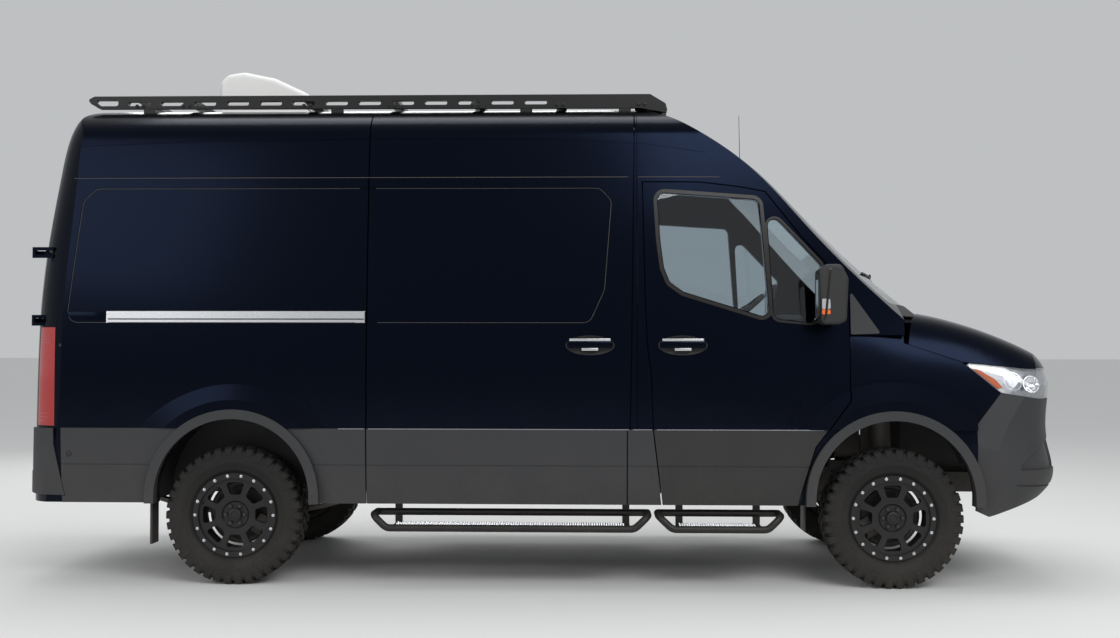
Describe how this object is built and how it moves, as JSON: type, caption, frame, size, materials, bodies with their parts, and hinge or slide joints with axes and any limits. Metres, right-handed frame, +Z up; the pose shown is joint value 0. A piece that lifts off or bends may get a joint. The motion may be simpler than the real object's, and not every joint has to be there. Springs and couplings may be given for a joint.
{
  "type": "high-roof camper van",
  "caption": "High-roof camper van with sliding side door, opening cab doors, rear doors and bonnet, roof rack, roof fan, tube side steps and off-road tyres.",
  "frame": {"origin": "on the ground, midway between the ends of the bumpers and on the centre plane", "axes": "+X forward, +Y to the vehicle's left, +Z up"},
  "size_m": [5.9224, 2.36, 3.0231],
  "materials": {
    "black_paint": "gloss",
    "grey_cladding": "textured",
    "black_plastic": "satin",
    "rack_black": "satin",
    "bright_rail": "brushed",
    "red_lamp": "gloss",
    "clear_lamp": "gloss",
    "glass": "clear",
    "tyre": "matte",
    "rim_black": "satin",
    "chassis": "satin",
    "iron": "cast",
    "white_plastic": "gloss",
    "cab_grey": "grained",
    "seat_cloth": "woven"
  },
  "bodies": {
    "body": {"right_side": "black_paint", "left_side": "black_paint", "roof": "black_paint", "rear_frame": "black_paint", "cab_frame": "black_paint", "sliding_door": "black_paint", "slide_rail": "bright_rail", "cladding": "grey_cladding", "wings": "black_paint", "headlamps": "clear_lamp", "tail_lamps": "red_lamp", "front_bumper": "grey_cladding", "rear_bumper": "grey_cladding", "grille": "black_plastic", "windscreen": "glass", "floor_and_frame": "chassis", "arch_liners": "black_plastic", "rear_axle": "iron", "front_suspension": "iron", "engine_block": "iron", "underbody": "chassis", "dashboard": "cab_grey", "seats": "seat_cloth", "roof_rack": "rack_black", "roof_fan": "white_plastic", "side_steps": "rack_black"},
    "bonnet": {"bonnet": "black_paint"},
    "steering_wheel": {"steering_wheel": "cab_grey"},
    "left_front_door": {"left_front_door": "black_paint", "left_front_glass": "glass", "left_front_trim": "grey_cladding"},
    "left_rear_door": {"left_rear_door": "black_paint", "left_rear_glass": "glass"},
    "front_left_knuckle": {"front_left_knuckle": "iron"},
    "front_left_wheel": {"front_left_tyre": "tyre", "front_left_rim": "rim_black"},
    "rear_left_wheel": {"rear_left_tyre": "tyre", "rear_left_rim": "rim_black"},
    "right_front_door": {"right_front_door": "black_paint", "right_front_glass": "glass", "right_front_trim": "grey_cladding"},
    "right_rear_door": {"right_rear_door": "black_paint", "right_rear_glass": "glass"},
    "front_right_knuckle": {"front_right_knuckle": "iron"},
    "front_right_wheel": {"front_right_tyre": "tyre", "front_right_rim": "rim_black"},
    "rear_right_wheel": {"rear_right_tyre": "tyre", "rear_right_rim": "rim_black"}
  },
  "joints": [
    {"name": "left_steer", "type": "hinge", "parent": "body", "child": "front_left_knuckle", "pos_m": [1.931, 0.735, 0.385], "axis": [0, 0, 1], "range_deg": [-35, 35]},
    {"name": "right_steer", "type": "hinge", "parent": "body", "child": "front_right_knuckle", "pos_m": [1.931, -0.735, 0.385], "axis": [0, 0, 1], "range_deg": [-35, 35]},
    {"name": "front_left_spin", "type": "hinge", "parent": "front_left_knuckle", "child": "front_left_wheel", "pos_m": [1.931, 0.857, 0.385], "axis": [0, 1, 0], "continuous": true},
    {"name": "rear_left_spin", "type": "hinge", "parent": "body", "child": "rear_left_wheel", "pos_m": [-1.734, 0.857, 0.385], "axis": [0, 1, 0], "continuous": true},
    {"name": "left_front_door_hinge", "type": "hinge", "parent": "body", "child": "left_front_door", "pos_m": [1.69, 1.012, 1.2], "axis": [0, 0, -1], "range_deg": [0, 70]},
    {"name": "left_rear_door_hinge", "type": "hinge", "parent": "body", "child": "left_rear_door", "pos_m": [-2.892, 0.925, 1.5], "axis": [0, 0, -1], "range_deg": [0, 180]},
    {"name": "front_right_spin", "type": "hinge", "parent": "front_right_knuckle", "child": "front_right_wheel", "pos_m": [1.931, -0.857, 0.385], "axis": [0, 1, 0], "continuous": true},
    {"name": "rear_right_spin", "type": "hinge", "parent": "body", "child": "rear_right_wheel", "pos_m": [-1.734, -0.857, 0.385], "axis": [0, 1, 0], "continuous": true},
    {"name": "right_front_door_hinge", "type": "hinge", "parent": "body", "child": "right_front_door", "pos_m": [1.69, -1.012, 1.2], "axis": [0, 0, 1], "range_deg": [0, 70]},
    {"name": "right_rear_door_hinge", "type": "hinge", "parent": "body", "child": "right_rear_door", "pos_m": [-2.892, -0.925, 1.5], "axis": [0, 0, 1], "range_deg": [0, 180]},
    {"name": "bonnet_hinge", "type": "hinge", "parent": "body", "child": "bonnet", "pos_m": [2.03, 0, 1.5], "axis": [0, -1, 0], "range_deg": [0, 50]},
    {"name": "steering_wheel_turn", "type": "hinge", "parent": "body", "child": "steering_wheel", "pos_m": [1.23, 0.4, 1.545], "axis": [-0.6428, 0, 0.766], "range_deg": [-560, 560]}
  ],
  "couplings": [
    {"joint": "right_steer", "follows": "left_steer", "ratio": 1},
    {"joint": "steering_wheel_turn", "follows": "left_steer", "ratio": 16}
  ]
}
